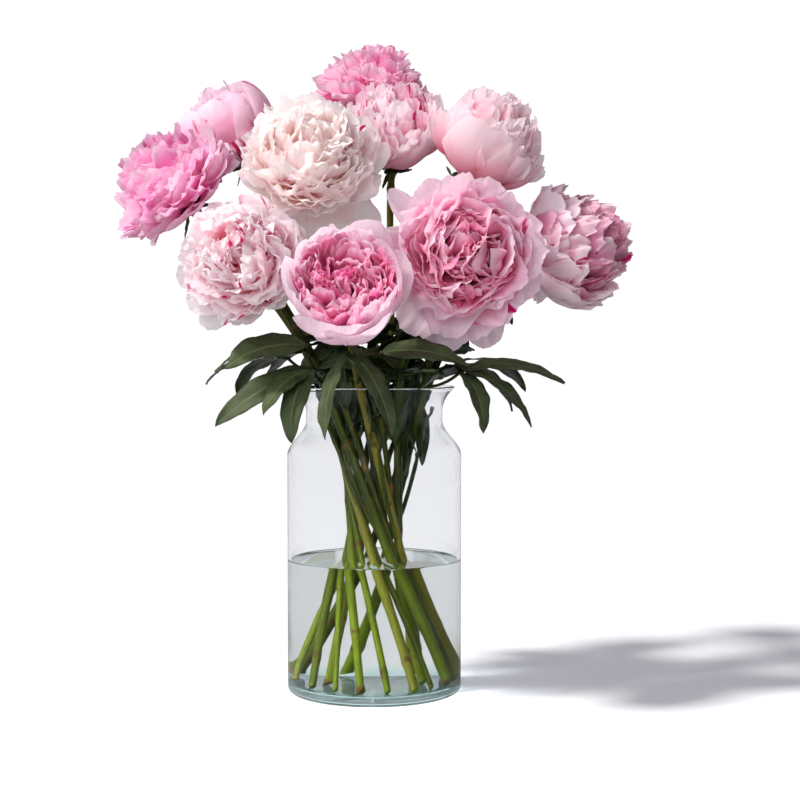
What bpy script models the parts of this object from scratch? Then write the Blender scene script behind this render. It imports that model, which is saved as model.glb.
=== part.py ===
"""Ten double peonies standing in water in a clear glass vase with a flared neck.

Metres, +Z up. The origin is the middle of the vase's flat foot, on the surface that it
stands on, and -Y is the side that the bouquet is arranged to be seen from.
Every bloom, every leafy stem, the vase and the water is one closed solid.
"""

import math
import random

import bmesh
import bpy
from mathutils import Matrix, Vector

# ------------------------------------------------------------------ driving sizes
VASE_HEIGHT = 0.300
BODY_RADIUS = 0.085
NECK_RADIUS = 0.0667
RIM_RADIUS = 0.0785
WALL = 0.003
FLOOR = 0.009
FOOT_CORNER = 0.007
SHOULDER_LOW, SHOULDER_TOP = 0.233, 0.266
FLARE_LOW = 0.276
WATER_LEVEL = 0.130
VASE_SIDES = 28

GAP = 0.0003  # clearance between two pieces that touch
FOOT_HEIGHT = FLOOR + 0.0024  # where a stem's cut end stands
NECK_LEVEL = 0.292  # height at which a stem stops being straight
TWIST = 130.0  # degrees from a stem's place in the neck round to its foot
STEM_RING = 1  # a bevel resolution of 1 makes a stem six-sided
RECEPTACLE_RADIUS = 0.0085
RECEPTACLE_LENGTH = 0.012

LEAF_THICKNESS = 0.0008
PETAL_THICKNESS = 0.0010
PETAL_LEAN = 0.18  # a petal's one edge lies inside its neighbour, like tiles

# Each bloom: middle, facing (azimuth and elevation in degrees), radius, form, colour.
BLOOMS = {
    "top": ((0.004, 0.130, 0.611), (30, 66), 0.060, "dome", "rose_pink"),
    "upper_left": ((-0.146, 0.070, 0.562), (200, 58), 0.051, "globe", "soft_pink"),
    "left": ((-0.199, -0.010, 0.495), (190, 50), 0.064, "dome", "rose_pink"),
    "centre": ((-0.060, -0.050, 0.518), (275, 40), 0.066, "rosette", "blush"),
    "upper_centre": ((0.020, 0.032, 0.546), (280, 64), 0.050, "globe", "soft_pink"),
    "upper_right": ((0.106, -0.020, 0.529), (340, 58), 0.052, "globe", "pale_pink"),
    "lower_left": ((-0.120, -0.090, 0.422), (255, 16), 0.059, "rosette", "pale_pink"),
    "front": ((-0.023, -0.140, 0.389), (268, 34), 0.056, "cup", "rose_pink"),
    "lower_right": ((0.085, -0.092, 0.424), (277, 6), 0.068, "loose", "soft_pink"),
    "right": ((0.191, 0.000, 0.432), (338, 18), 0.062, "globe", "mauve_pink"),
}

# Each flower stem: its angle and distance from the vase's axis in the neck, the distance
# of its foot from the axis, and its radius.
STEMS = {
    "right": (8, 0.050, 0.064, 0.0040),
    "upper_right": (335, 0.052, 0.066, 0.0038),
    "upper_centre": (55, 0.018, 0.034, 0.0036),
    "top": (84, 0.050, 0.064, 0.0038),
    "upper_left": (130, 0.052, 0.064, 0.0038),
    "left": (174, 0.050, 0.066, 0.0042),
    "lower_left": (214, 0.052, 0.064, 0.0048),
    "centre": (231, 0.018, 0.036, 0.0040),
    "front": (258, 0.052, 0.064, 0.0042),
    "lower_right": (298, 0.050, 0.062, 0.0044),
}

# Leaf stalks: the stem and the height on it where the stalk springs, its far end, and
# its leaflets, each (azimuth, first and last slope in degrees, length, width, roll).
LEAF_STALKS = [
    ("lower_left", 0.330, (-0.062, -0.060, 0.340), [
        (168, 20, -52, 0.100, 0.028, -25),
        (204, 10, -38, 0.086, 0.036, -38),
    ]),
    ("lower_left", 0.302, (-0.058, -0.052, 0.318), [
        (187, -14, -46, 0.108, 0.030, -40),
        (222, -6, -60, 0.078, 0.028, -20),
        (243, -16, -104, 0.086, 0.028, 0),
    ]),
    ("front", 0.322, (-0.024, -0.078, 0.334), [
        (243, -26, -96, 0.096, 0.022, 30),
        (303, -14, -80, 0.108, 0.028, 0),
    ]),
    ("upper_right", 0.300, (0.084, -0.044, 0.316), [
        (2, 20, -34, 0.104, 0.026, 18),
        (300, -20, -84, 0.076, 0.024, 0),
        (338, -4, -70, 0.092, 0.025, 14),
        (229, 0, -32, 0.070, 0.024, 35),
    ]),
    ("lower_right", 0.318, (0.008, -0.084, 0.334), [
        (356, 12, -30, 0.084, 0.033, 38),
    ]),
    ("lower_right", 0.352, (0.046, -0.052, 0.366), [
        (350, 6, -24, 0.054, 0.022, 20),
    ]),
    ("left", 0.312, (-0.084, 0.012, 0.326), [
        (176, 18, -50, 0.092, 0.028, 0),
        (148, 8, -66, 0.084, 0.026, 0),
    ]),
    ("upper_left", 0.316, (-0.052, 0.064, 0.328), [
        (140, 18, -56, 0.098, 0.029, 0),
        (108, 8, -70, 0.088, 0.027, 0),
    ]),
    ("top", 0.322, (0.010, 0.076, 0.334), [
        (84, 16, -60, 0.100, 0.030, 0),
        (54, 4, -76, 0.088, 0.027, 0),
    ]),
    ("right", 0.312, (0.082, 0.034, 0.322), [
        (36, 16, -54, 0.098, 0.029, 0),
        (8, -6, -74, 0.080, 0.025, 0),
    ]),
    ("left", 0.400, (-0.140, -0.022, 0.424), [
        (262, -30, -76, 0.040, 0.015, 0),
    ]),
    ("upper_centre", 0.400, (0.022, -0.002, 0.424), [
        (286, 10, 40, 0.046, 0.017, 0),
        (30, 20, 50, 0.050, 0.018, 0),
    ]),
    ("upper_right", 0.430, (0.068, -0.020, 0.452), [
        (350, 40, 20, 0.050, 0.018, 0),
        (150, 20, 44, 0.048, 0.018, 0),
    ]),
    ("centre", 0.380, (-0.046, -0.030, 0.402), [
        (200, 22, 44, 0.050, 0.018, 0),
        (20, 30, 10, 0.046, 0.017, 0),
    ]),
    ("top", 0.430, (0.004, 0.096, 0.456), [
        (100, 20, -30, 0.056, 0.019, 0),
    ]),
    ("upper_left", 0.400, (-0.092, 0.074, 0.424), [
        (120, 20, -30, 0.056, 0.019, 0),
    ]),
    ("right", 0.350, (0.112, 0.020, 0.370), [
        (60, 10, -30, 0.058, 0.020, 0),
    ]),
]

# Each bloom form: how far its base lies behind its middle, how many degrees the outer
# petals on its underside hang back, then its whorls of petals, the outside one first:
# (count, root radius and height, first and last slope in degrees, length, half width,
# cup). Lengths are in bloom radii.
FORMS = {
    "dome": (0.58, 24, [
        (6, 0.17, 0.10, -10, 52, 1.05, 0.50, 0.60),
        (6, 0.24, 0.28, 22, 94, 1.04, 0.31, 0.60),
        (4, 0.12, 0.50, 62, 98, 0.80, 0.25, 0.60),
    ]),
    "globe": (0.72, 12, [
        (6, 0.17, 0.12, 0, 128, 1.78, 0.55, 0.95),
        (5, 0.26, 0.42, 44, 104, 1.10, 0.33, 0.70),
        (3, 0.08, 0.60, 76, 104, 0.80, 0.22, 0.60),
    ]),
    "rosette": (0.50, 26, [
        (7, 0.17, 0.10, -4, 92, 1.30, 0.45, 0.80),
        (6, 0.28, 0.38, 30, 112, 0.86, 0.29, 0.75),
        (3, 0.12, 0.50, 62, 126, 0.62, 0.23, 0.75),
    ]),
    "cup": (0.52, 22, [
        (6, 0.17, 0.12, -2, 112, 1.45, 0.52, 0.90),
        (6, 0.30, 0.34, 34, 118, 0.80, 0.28, 0.80),
        (3, 0.12, 0.42, 60, 124, 0.62, 0.23, 0.80),
    ]),
    "loose": (0.45, 24, [
        (7, 0.17, 0.10, -14, 54, 1.06, 0.46, 0.55),
        (6, 0.26, 0.34, 20, 84, 0.90, 0.29, 0.60),
        (4, 0.14, 0.46, 60, 96, 0.66, 0.25, 0.60),
    ]),
}
CORE_PROFILE = [(0.0, 0.80), (0.28, 0.70), (0.40, 0.46), (0.34, 0.20), (0.15, 0.0), (0.0, 0.0)]
CORE_SIDES = 6

COLOURS = {  # linear base colour, roughness
    "glass": ((0.86, 0.91, 0.93), 0.03),
    "water": ((0.80, 0.88, 0.88), 0.05),
    "stem_green": ((0.12, 0.21, 0.04), 0.50),
    "rose_pink": ((0.83, 0.28, 0.45), 0.60),
    "soft_pink": ((0.86, 0.42, 0.54), 0.60),
    "pale_pink": ((0.90, 0.60, 0.62), 0.60),
    "blush": ((0.92, 0.75, 0.71), 0.60),
    "mauve_pink": ((0.78, 0.45, 0.55), 0.60),
}


# ------------------------------------------------------------------ scene and materials
def clear_scene():
    for obj in list(bpy.data.objects):
        bpy.data.objects.remove(obj)


def material(name):
    """The Principled material of that name, made once."""
    if name in bpy.data.materials:
        return bpy.data.materials[name]
    colour, roughness = COLOURS[name]
    made = bpy.data.materials.new(name)
    made.use_nodes = True
    shader = made.node_tree.nodes["Principled BSDF"]
    shader.inputs["Base Color"].default_value = (*colour, 1.0)
    shader.inputs["Roughness"].default_value = roughness
    shader.inputs["Metallic"].default_value = 0.0
    if name in ("glass", "water"):
        shader.inputs["Transmission Weight"].default_value = 1.0
    return made


def new_object(name, data):
    obj = bpy.data.objects.new(name, data)
    bpy.context.scene.collection.objects.link(obj)
    return obj


def applied(obj):
    """Replaces the object's mesh by what its modifiers make of it, and clears them."""
    bpy.context.view_layer.update()
    graph = bpy.context.evaluated_depsgraph_get()
    result = bpy.data.meshes.new_from_object(obj.evaluated_get(graph))
    obj.modifiers.clear()
    obj.data = result
    return obj


def boolean(obj, others, operation):
    """Joins the other objects to obj, or cuts them from it, and removes them."""
    group = bpy.data.collections.new(obj.name + "_operands")
    bpy.context.scene.collection.children.link(group)
    for other in others:
        bpy.context.scene.collection.objects.unlink(other)
        group.objects.link(other)
    modifier = obj.modifiers.new("boolean", "BOOLEAN")
    modifier.operation = operation
    modifier.operand_type = "COLLECTION"
    modifier.collection = group
    applied(obj)
    for other in others:
        bpy.data.objects.remove(other)
    bpy.data.collections.remove(group)
    return obj


def finish(obj, name, colour):
    """Names a finished piece, shades it smooth between its creases and colours it."""
    obj.name = name
    obj.data.name = name
    obj.data.materials.clear()
    obj.data.materials.append(material(colour))
    obj.data.shade_smooth()
    obj.data.set_sharp_from_angle(angle=math.radians(35))
    return obj


# ------------------------------------------------------------------ turned shapes
def turned(name, profile, sides):
    """A profile of (radius, height) points, down its outer side, spun about Z."""
    mesh = bpy.data.meshes.new(name)
    points = [(radius, 0.0, height) for radius, height in profile]
    mesh.from_pydata(points, [(k, k + 1) for k in range(len(points) - 1)], [])
    obj = new_object(name, mesh)
    screw = obj.modifiers.new("turn", "SCREW")
    screw.axis = "Z"
    screw.steps = screw.render_steps = sides
    screw.use_merge_vertices = True
    screw.merge_threshold = 0.00001
    return applied(obj)


def wall_radius(height):
    """The vase's outer radius: straight body, S-shaped shoulder, neck and flare."""
    if height <= SHOULDER_LOW:
        return BODY_RADIUS
    if height <= SHOULDER_TOP:
        share = (height - SHOULDER_LOW) / (SHOULDER_TOP - SHOULDER_LOW)
        return BODY_RADIUS + (NECK_RADIUS - BODY_RADIUS) * share**2 * (3 - 2 * share)
    if height <= FLARE_LOW:
        return NECK_RADIUS
    share = (height - FLARE_LOW) / (VASE_HEIGHT - WALL / 2 - FLARE_LOW)
    return NECK_RADIUS + (RIM_RADIUS - NECK_RADIUS) * share**2


def evenly(first, last, steps):
    return [first + (last - first) * k / steps for k in range(steps + 1)]


def arc(centre, radius, first, last, steps):
    """Points of an arc in the (radius, height) plane, angles in degrees."""
    angles = [math.radians(a) for a in evenly(first, last, steps)]
    return [(centre[0] + radius * math.cos(a), centre[1] + radius * math.sin(a)) for a in angles]


def make_vase():
    heights = evenly(SHOULDER_LOW, SHOULDER_TOP, 4)
    heights += evenly(FLARE_LOW, VASE_HEIGHT - WALL / 2, 3)
    inner_corner = FOOT_CORNER - WALL / 2
    corner = (BODY_RADIUS - FOOT_CORNER, FOOT_CORNER)
    inside = (BODY_RADIUS - WALL - inner_corner, FLOOR + inner_corner)
    profile = [(0.0, FLOOR)] + arc(inside, inner_corner, -90, 0, 2)
    profile += [(wall_radius(z) - WALL, z) for z in heights]
    profile.append((RIM_RADIUS - WALL / 2, VASE_HEIGHT))
    profile += [(wall_radius(z), z) for z in reversed(heights)]
    profile += arc(corner, FOOT_CORNER, 0, -90, 2) + [(0.0, 0.0)]
    return finish(turned("vase", profile, VASE_SIDES), "vase", "glass")


def make_water(holes):
    """The water that fills the vase's foot, with a plain hole round each stem."""
    inner_corner = FOOT_CORNER - WALL / 2
    radius = BODY_RADIUS - WALL - GAP
    corner = (radius - inner_corner, FLOOR + GAP + inner_corner)
    profile = [(0.0, WATER_LEVEL), (radius, WATER_LEVEL)]
    profile += arc(corner, inner_corner, 0, -90, 2) + [(0.0, FLOOR + GAP)]
    water = turned("water", profile, VASE_SIDES)
    return finish(boolean(water, holes, "DIFFERENCE"), "water", "water")


# ------------------------------------------------------------------ stems
def direction(azimuth, elevation):
    a, e = math.radians(azimuth), math.radians(elevation)
    return Vector((math.cos(a) * math.cos(e), math.sin(a) * math.cos(e), math.sin(e)))


def polar(azimuth, radius, height):
    a = math.radians(azimuth)
    return Vector((radius * math.cos(a), radius * math.sin(a), height))


def bloom_base(name):
    """The point where the bloom sits on its stem, and the direction that it faces."""
    middle, facing, radius, form, _ = BLOOMS[name]
    axis = direction(*facing)
    return Vector(middle) - axis * FORMS[form][0] * radius, axis


def stem_route(name, steps=9):
    """The stem's line: straight from its foot to the neck, then a smooth bend to its bloom."""
    angle, neck_radius, foot_radius, _ = STEMS[name]
    foot = polar(angle + TWIST, foot_radius, FOOT_HEIGHT)
    neck = polar(angle, neck_radius, NECK_LEVEL)
    base, axis = bloom_base(name)
    end = base - axis * (RECEPTACLE_LENGTH + GAP)
    span = (end - neck).length
    leaving = (neck - foot).normalized() * span * 1.1
    arriving = axis * span * 0.9
    points = [foot]
    for t in evenly(0.0, 1.0, steps):
        points.append(
            (2 * t**3 - 3 * t**2 + 1) * neck
            + (t**3 - 2 * t**2 + t) * leaving
            + (3 * t**2 - 2 * t**3) * end
            + (t**3 - t**2) * arriving
        )
    return points


def bar(name, route, radii, ring):
    """A closed round bar along a route: a bevelled curve with filled ends."""
    curve = bpy.data.curves.new(name, "CURVE")
    curve.dimensions = "3D"
    curve.bevel_depth = 1.0
    curve.bevel_resolution = ring
    curve.use_fill_caps = True
    spline = curve.splines.new("POLY")
    spline.points.add(len(route) - 1)
    for point, place, radius in zip(spline.points, route, radii):
        point.co = (*place, 1.0)
        point.radius = radius
    guide = new_object(name, curve)
    bpy.context.view_layer.update()
    graph = bpy.context.evaluated_depsgraph_get()
    mesh = bpy.data.meshes.new_from_object(guide.evaluated_get(graph))
    bpy.data.objects.remove(guide)
    work = bmesh.new()
    work.from_mesh(mesh)
    bmesh.ops.remove_doubles(work, verts=work.verts, dist=0.000001)
    bmesh.ops.recalc_face_normals(work, faces=work.faces)
    work.to_mesh(mesh)
    work.free()
    return new_object(name, mesh)


def point_at_height(route, height):
    """The point of the route at that height."""
    for low, high in zip(route[:-1], route[1:]):
        if low.z <= height <= high.z:
            return low + (high - low) * (height - low.z) / (high.z - low.z)
    return route[-1]


# ------------------------------------------------------------------ thin blades
def blade(name, rows, cols, place, thickness):
    """A closed blade: a grid bent by place(along, across), cut into triangles, thickened."""
    work = bmesh.new()
    bmesh.ops.create_grid(work, x_segments=cols, y_segments=rows, size=1.0)
    for vertex in work.verts:
        vertex.co = place((vertex.co.y + 1) / 2, vertex.co.x)
    bmesh.ops.triangulate(work, faces=work.faces, quad_method="SHORT_EDGE")
    mesh = bpy.data.meshes.new(name)
    work.to_mesh(mesh)
    work.free()
    obj = new_object(name, mesh)
    thick = obj.modifiers.new("thickness", "SOLIDIFY")
    thick.thickness = thickness
    thick.offset = 0.0
    return obj


def arc_run(length, first, last, share):
    """How far out and up a rib of even curvature has gone at that share of its length."""
    start = math.radians(first)
    turn = math.radians(last - first)
    now = start + turn * share
    out = length * (math.sin(now) - math.sin(start)) / turn
    rise = length * (math.cos(start) - math.cos(now)) / turn
    return out, rise, now


LEAF_STATIONS = (0.0, 0.14, 0.34, 0.56, 0.80, 1.0)
LEAF_FOLD = 0.22  # how far the two halves rise from the rib, per unit of width
STALK_HALF_WIDTH = 0.0011


def leaflet(name, start, azimuth, first, last, length, width, roll):
    """A lance-shaped, keeled leaflet on a rib that bows in a vertical plane."""
    a = math.radians(azimuth)
    outward = Vector((math.cos(a), math.sin(a), 0.0))
    side = Vector((-math.sin(a), math.cos(a), 0.0))
    up = Vector((0.0, 0.0, 1.0))
    turn = math.radians(roll)

    def place(along, across):
        share = LEAF_STATIONS[round(along * (len(LEAF_STATIONS) - 1))]
        out, rise, slope = arc_run(length, first, last, share)
        normal = up * math.cos(slope) - outward * math.sin(slope)
        sideways = side * math.cos(turn) + normal * math.sin(turn)
        face = normal * math.cos(turn) - side * math.sin(turn)
        half = width / 2 * share**0.55 * (1 - share) ** 0.75 / 0.4125
        half = max(half, STALK_HALF_WIDTH * (1 - share / 2))
        lift = half * LEAF_FOLD * abs(across)
        return start + outward * out + up * rise + sideways * half * across + face * lift

    return blade(name, len(LEAF_STATIONS) - 1, 2, place, LEAF_THICKNESS)


def make_stem(name):
    """A flower stem with its receptacle and the leaves that grow on it, as one solid."""
    radius = STEMS[name][3]
    route = stem_route(name)
    base, axis = bloom_base(name)
    radii = [radius] * len(route) + [RECEPTACLE_RADIUS]
    stem = bar(name, route + [base - axis * GAP], radii, STEM_RING)
    grown = []
    for parent, height, far_end, leaflets in LEAF_STALKS:
        if parent != name:
            continue
        root = point_at_height(route, height)
        far_end = Vector(far_end)
        along = (far_end - root).normalized()
        stalk = bar(name + "_stalk", [root, far_end + along * 0.0010], [0.0019, 0.0016], 0)
        grown.append(stalk)
        for leaf in leaflets:
            grown.append(leaflet(name + "_leaf", far_end - along * 0.0012, *leaf))
    if grown:
        boolean(stem, grown, "UNION")
    return finish(stem, "stem_" + name, "stem_green")


def make_hole(name):
    """The cutter for a stem's hole in the water: straight, and clear of the stem."""
    foot, neck = stem_route(name)[:2]
    along = (neck - foot).normalized()
    radius = (STEMS[name][3] + GAP) / math.cos(math.pi / 6)
    ends = [foot - along * 0.02, neck - along * 0.10]
    return bar(name + "_hole", ends, [radius, radius], STEM_RING)


# ------------------------------------------------------------------ blooms
def petal(name, radius, whorl, wander, rows, cols):
    """One petal, growing towards +X: a cupped blade whose rib bows out and up."""
    root_out, root_up, first, last, length, half_width, cup = whorl[1:]
    first, last = first + wander[0], last + wander[1]
    length = length * radius * wander[2]
    side = Vector((0.0, 1.0, 0.0))

    def place(along, across):
        reach = along * (1 - 0.20 * abs(across) ** 2.2)
        out, rise, slope = arc_run(length, first, last, reach)
        normal = Vector((-math.sin(slope), 0.0, math.cos(slope)))
        spread = 0.22 + 0.78 * math.sin(math.pi / 2 * min(along / 0.70, 1.0)) ** 1.3
        half = half_width * radius * (spread - 0.33 * max(along - 0.70, 0.0))
        bend = cup * across
        sideways = half * math.sin(bend) / cup
        inward = half * (1 - math.cos(bend)) / cup + PETAL_LEAN * sideways
        middle = Vector((root_out * radius + out, 0.0, root_up * radius + rise))
        return middle + side * sideways + normal * inward

    return blade(name, rows, cols, place, PETAL_THICKNESS)


def make_bloom(name):
    """A double bloom: a core on the receptacle, and whorls of petals that stand out of it."""
    _, _, radius, form, colour = BLOOMS[name]
    _, hang, whorls = FORMS[form]
    draw = random.Random(name)
    base, axis = bloom_base(name)
    across = axis.cross(Vector((0.0, 0.0, 1.0))).normalized()
    turn = Matrix((across, axis.cross(across), axis)).transposed()
    core = turned(name, [(r * radius, z * radius) for r, z in CORE_PROFILE], CORE_SIDES)
    petals = []
    for order, whorl in enumerate(whorls):
        rows, cols = ((3, 3), (2, 2), (2, 1))[order]
        for k in range(whorl[0]):
            angle = 2 * math.pi * (k + 0.5 * order) / whorl[0] + draw.uniform(-0.08, 0.08)
            way = turn @ Vector((math.cos(angle), math.sin(angle), 0.0))
            sag = hang * max(-way.z, 0.0) if order == 0 else 0.0
            wander = (
                draw.uniform(-4, 4) - sag * 0.4,
                draw.uniform(-7, 7) - sag,
                draw.uniform(0.95, 1.05),
            )
            grown = petal(name + "_petal", radius, whorl, wander, rows, cols)
            grown.rotation_euler = (0.0, 0.0, angle)
            petals.append(grown)
    boolean(core, petals, "UNION")
    core.matrix_world = Matrix.Translation(base) @ turn.to_4x4()
    return finish(core, "bloom_" + name, colour)


def main():
    clear_scene()
    make_vase()
    make_water([make_hole(name) for name in STEMS])
    for name in STEMS:
        make_stem(name)
    for name in BLOOMS:
        make_bloom(name)


main()
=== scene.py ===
import math
import random

import bpy
from mathutils import Matrix, Vector


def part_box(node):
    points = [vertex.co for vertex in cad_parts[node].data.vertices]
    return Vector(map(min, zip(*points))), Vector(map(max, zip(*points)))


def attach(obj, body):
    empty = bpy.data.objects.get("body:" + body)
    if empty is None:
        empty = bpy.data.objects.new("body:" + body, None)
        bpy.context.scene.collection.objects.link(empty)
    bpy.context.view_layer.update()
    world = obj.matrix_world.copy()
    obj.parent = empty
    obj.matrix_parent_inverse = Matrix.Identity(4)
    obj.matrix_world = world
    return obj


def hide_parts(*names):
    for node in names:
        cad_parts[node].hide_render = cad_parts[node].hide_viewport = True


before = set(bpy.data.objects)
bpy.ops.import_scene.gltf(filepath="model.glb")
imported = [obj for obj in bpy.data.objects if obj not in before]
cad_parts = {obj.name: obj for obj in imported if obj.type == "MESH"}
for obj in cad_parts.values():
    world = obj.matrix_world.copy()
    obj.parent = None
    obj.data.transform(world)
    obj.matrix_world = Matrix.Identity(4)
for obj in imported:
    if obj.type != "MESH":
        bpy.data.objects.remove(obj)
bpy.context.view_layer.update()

# ------------------------------------------------------------------ the vase
# A blown vase of clear glass with a faint grey cast, partly its own and partly painted
# shade for the surroundings it reflects: a straight round body on a thick flat foot, a
# sloped shoulder, a short neck and a flared, fire-polished rim. It is one shell turned
# from its profile, outside and inside.
foot_low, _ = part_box("vase")
body_radius = -foot_low[0]
vase_height = 0.300
neck_radius, rim_radius = 0.0667, 0.0785
wall, vase_floor = 0.003, 0.009
shoulder_low, shoulder_top, flare_low = 0.233, 0.266, 0.276
foot_round, inner_round, wall_low = 0.007, 0.0055, 0.020
facets = 128


def vase_outside(height):
    """Outer radius of the vase above its foot's rounded corner."""
    if height <= shoulder_low:
        return body_radius
    if height <= shoulder_top:
        share = (height - shoulder_low) / (shoulder_top - shoulder_low)
        return body_radius + (neck_radius - body_radius) * share**2 * (3 - 2 * share)
    if height <= flare_low:
        return neck_radius
    share = (height - flare_low) / (vase_height - wall / 2 - flare_low)
    return neck_radius + (rim_radius - neck_radius) * share**2


def steps(first, last, count):
    return [first + (last - first) * k / count for k in range(count + 1)]


def round_corner(centre, radius, first, last, count):
    """Points of an arc in the (radius, height) plane, angles in degrees."""
    turns = [math.radians(a) for a in steps(first, last, count)]
    return [(centre[0] + radius * math.cos(a), centre[1] + radius * math.sin(a)) for a in turns]


def placed(name, data):
    """A new object in the scene."""
    made = bpy.data.objects.new(name, data)
    bpy.context.scene.collection.objects.link(made)
    return made


def made_plain(piece):
    """The piece with its modifiers turned into a plain mesh."""
    bpy.context.view_layer.update()
    graph = bpy.context.evaluated_depsgraph_get()
    mesh = bpy.data.meshes.new_from_object(piece.evaluated_get(graph))
    piece.modifiers.clear()
    if piece.type == "MESH":
        piece.data = mesh
        return piece
    plain = placed(piece.name, mesh)
    bpy.data.objects.remove(piece)
    return plain


def turn_profile(name, profile, sides):
    """A closed shell turned about Z from a profile that runs down its outer side."""
    mesh = bpy.data.meshes.new(name)
    points = [(r, 0.0, z) for r, z in profile]
    mesh.from_pydata(points, [(k, k + 1) for k in range(len(points) - 1)], [])
    piece = placed(name, mesh)
    screw = piece.modifiers.new("turned", "SCREW")
    screw.steps = screw.render_steps = sides
    screw.use_merge_vertices = True
    screw.merge_threshold = 0.00001
    screw.use_smooth_shade = True
    return made_plain(piece)


wall_heights = steps(wall_low, shoulder_low, 12) + steps(shoulder_low, shoulder_top, 14)[1:]
wall_heights += steps(flare_low, vase_height - wall / 2, 12)
inside_corner = (body_radius - wall - inner_round, vase_floor + inner_round)
outside_corner = (body_radius - foot_round, foot_round)
lip = (rim_radius - wall / 2, vase_height - wall / 2)
profile = [(0.0, vase_floor)] + round_corner(inside_corner, inner_round, -90, 0, 6)
profile += [(vase_outside(z) - wall, z) for z in wall_heights[:-1]]
profile += round_corner(lip, wall / 2, 180, 0, 8)
profile += [(vase_outside(z), z) for z in reversed(wall_heights[:-1])]
profile += round_corner(outside_corner, foot_round, 0, -90, 8) + [(0.0, 0.0)]
vase = turn_profile("vase_glass", profile, facets)


def joined(source, target):
    """Links a socket to an input, or sets the input to a plain value."""
    if isinstance(source, bpy.types.NodeSocket):
        target.id_data.links.new(source, target)
    else:
        target.default_value = source


def node(tree, kind, inputs=(), **settings):
    """A new node with these settings, whose inputs take sockets or plain values."""
    made = tree.nodes.new(kind)
    for name, value in settings.items():
        setattr(made, name, value)
    for place, value in dict(inputs).items():
        joined(value, made.inputs[place])
    return made


def blend(share, low, high):
    """A colour between two, each a colour or a socket."""
    low, high = ((*c, 1.0) if isinstance(c, tuple) else c for c in (low, high))
    return node(share.id_data, "ShaderNodeMix", {0: share, 6: low, 7: high}, data_type="RGBA").outputs[2]


def ramped(value, low, high):
    """0 below low, 1 above high, smooth between."""
    limits = {"Value": value, "From Min": low, "From Max": high}
    return node(value.id_data, "ShaderNodeMapRange", limits, interpolation_type="SMOOTHSTEP").outputs[0]


def parted(vector):
    """A vector's X, Y and Z."""
    return node(vector.id_data, "ShaderNodeSeparateXYZ", {0: vector}).outputs


def object_place(tree):
    return tree.nodes.new("ShaderNodeTexCoord").outputs["Object"]


def mixed_skins(tree, share, first, second):
    """The material's surface: the first shader, and that share of the second."""
    mix = node(tree, "ShaderNodeMixShader", {0: share, 1: first.outputs[0], 2: second.outputs[0]})
    joined(mix.outputs[0], tree.nodes["Material Output"].inputs["Surface"])


def new_skin(name, roughness, shine=0.5):
    """A material of that roughness and specular level, with its tree and its shader."""
    made = bpy.data.materials.new(name)
    made.use_nodes = True
    shader = made.node_tree.nodes["Principled BSDF"]
    shader.inputs["Roughness"].default_value = roughness
    shader.inputs["Specular IOR Level"].default_value = shine
    return made, made.node_tree, shader


def clear_skin(name, tint, bend, shade, foot=None):
    """A clear refracting body that lets light through; the foot's tint shows where it is thick."""
    made, t, skin = new_skin(name, 0.0)
    skin.inputs["Base Color"].default_value = (*tint, 1.0)
    skin.inputs["Transmission Weight"].default_value = 1.0
    skin.inputs["IOR"].default_value = bend
    skin.inputs["Specular Tint"].default_value = (0.05, 0.05, 0.05, 1.0)
    if foot:
        above = ramped(parted(object_place(t))["Z"], vase_floor, wall_low)
        joined(blend(above, foot, tint), skin.inputs["Base Color"])
    through = node(t, "ShaderNodeBsdfTransparent", {"Color": (*shade, 1.0)})
    mixed_skins(t, t.nodes.new("ShaderNodeLightPath").outputs["Is Shadow Ray"], skin, through)
    return made


# Painted shade: the glass's grey tint is partly its own cast and partly dims what shows through it, for the
# surroundings it reflects. The teal foot is the thick glass's own colour.
vase_skin = clear_skin(
    "clear vase glass", (0.885, 0.895, 0.905), 1.47, (0.90, 0.91, 0.93), foot=(0.66, 0.83, 0.80)
)
vase.data.materials.append(vase_skin)
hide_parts("vase")
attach(vase, "root")

# ------------------------------------------------------------------ the water
# Still water that fills the foot of the vase and creeps a millimetre up the glass all
# round. It wets the glass, so its side and bottom reach a hair into it.
water_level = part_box("water")[1][2]
overlap = 0.0004
wet_radius = body_radius - wall + overlap
creep_wide, creep_high = 0.004, 0.0013
creep = [
    (wet_radius - creep_wide * (1 - k), water_level + creep_high * k**3) for k in steps(0.0, 1.0, 6)
]
wet_corner = (wet_radius - inner_round, vase_floor - overlap + inner_round)
profile = [(0.0, water_level), (0.04, water_level), (0.07, water_level)] + creep
profile += [(wet_radius, z) for z in steps(water_level, wall_low, 6)]
profile += round_corner(wet_corner, inner_round, 0, -90, 6) + [(0.0, vase_floor - overlap)]
water = turn_profile("still_water", profile, facets)
# Painted shade: the water's grey tint dims what shows through it, for the dark surroundings the water
# refracts.
water.data.materials.append(clear_skin("still water", (0.725, 0.75, 0.735), 1.333, (0.94, 0.95, 0.95)))
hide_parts("water")
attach(water, "root")

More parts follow.
